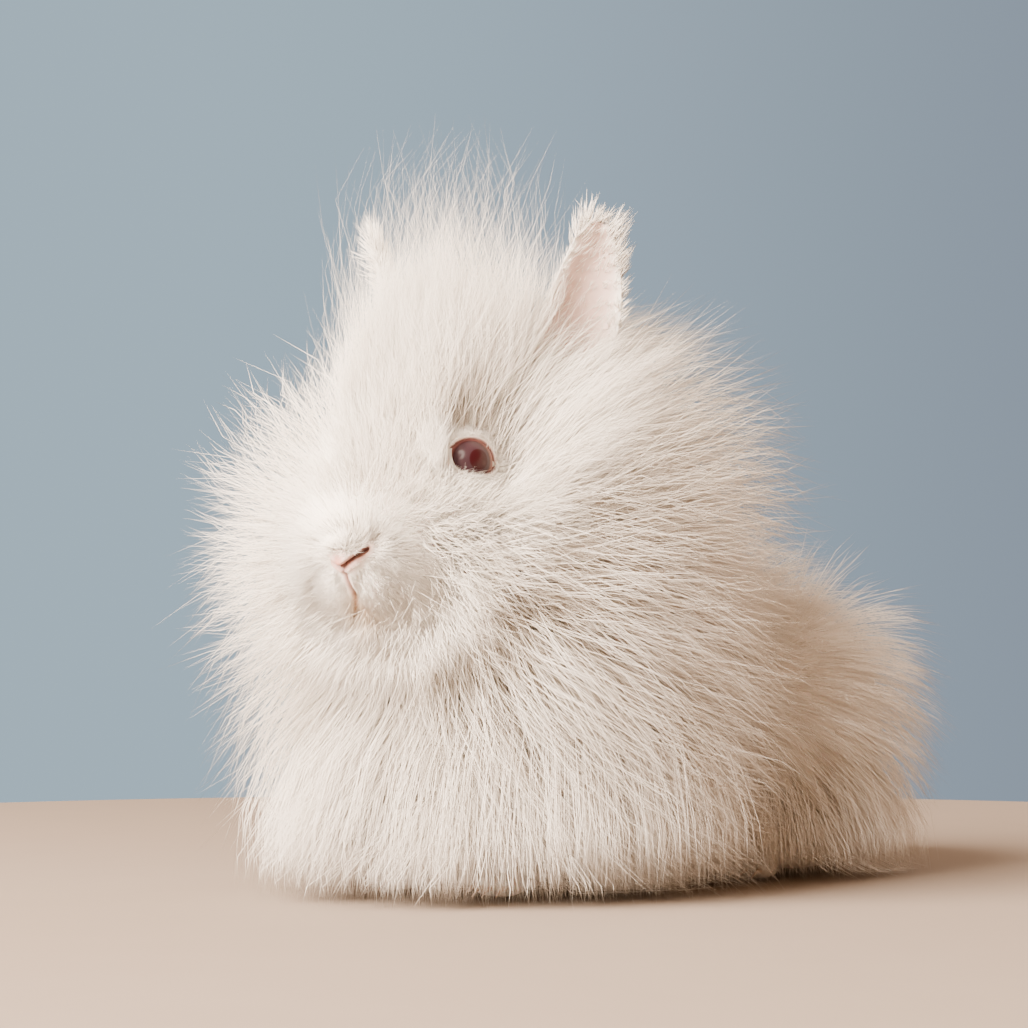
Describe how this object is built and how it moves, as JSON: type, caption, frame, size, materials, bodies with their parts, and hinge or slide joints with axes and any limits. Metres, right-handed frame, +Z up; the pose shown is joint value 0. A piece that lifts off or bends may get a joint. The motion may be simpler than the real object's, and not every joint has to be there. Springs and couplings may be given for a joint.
{
  "type": "lionhead rabbit",
  "caption": "Still, life-size long-haired rabbit sitting on its feet, with a deep mane round the face, a crest and short upright ears.",
  "frame": {"origin": "middle of the base of the whole model's box, on the floor that the feet rest on", "axes": "+Z up, -Y the way the rabbit faces, +X to its left side"},
  "size_m": [0.188, 0.2722, 0.2236],
  "materials": {
    "coat": "long, fine, warm white wool, matt with a soft sheen",
    "skin": "thin pink skin at the nose, lids and inside the ears, matt to faintly moist",
    "eye": "wet, glossy, ruby iris with a deeper red pupil",
    "claw": "translucent horn, smooth and slightly dull"
  },
  "bodies": {
    "root": {"head": "coat", "neck": "coat", "torso": "coat", "tail": "coat", "ear_left": "coat", "ear_right": "coat", "eye_left": "eye", "eye_right": "eye", "foreleg_left": "coat", "foreleg_right": "coat", "hindleg_left": "coat", "hindleg_right": "coat"}
  },
  "joints": []
}
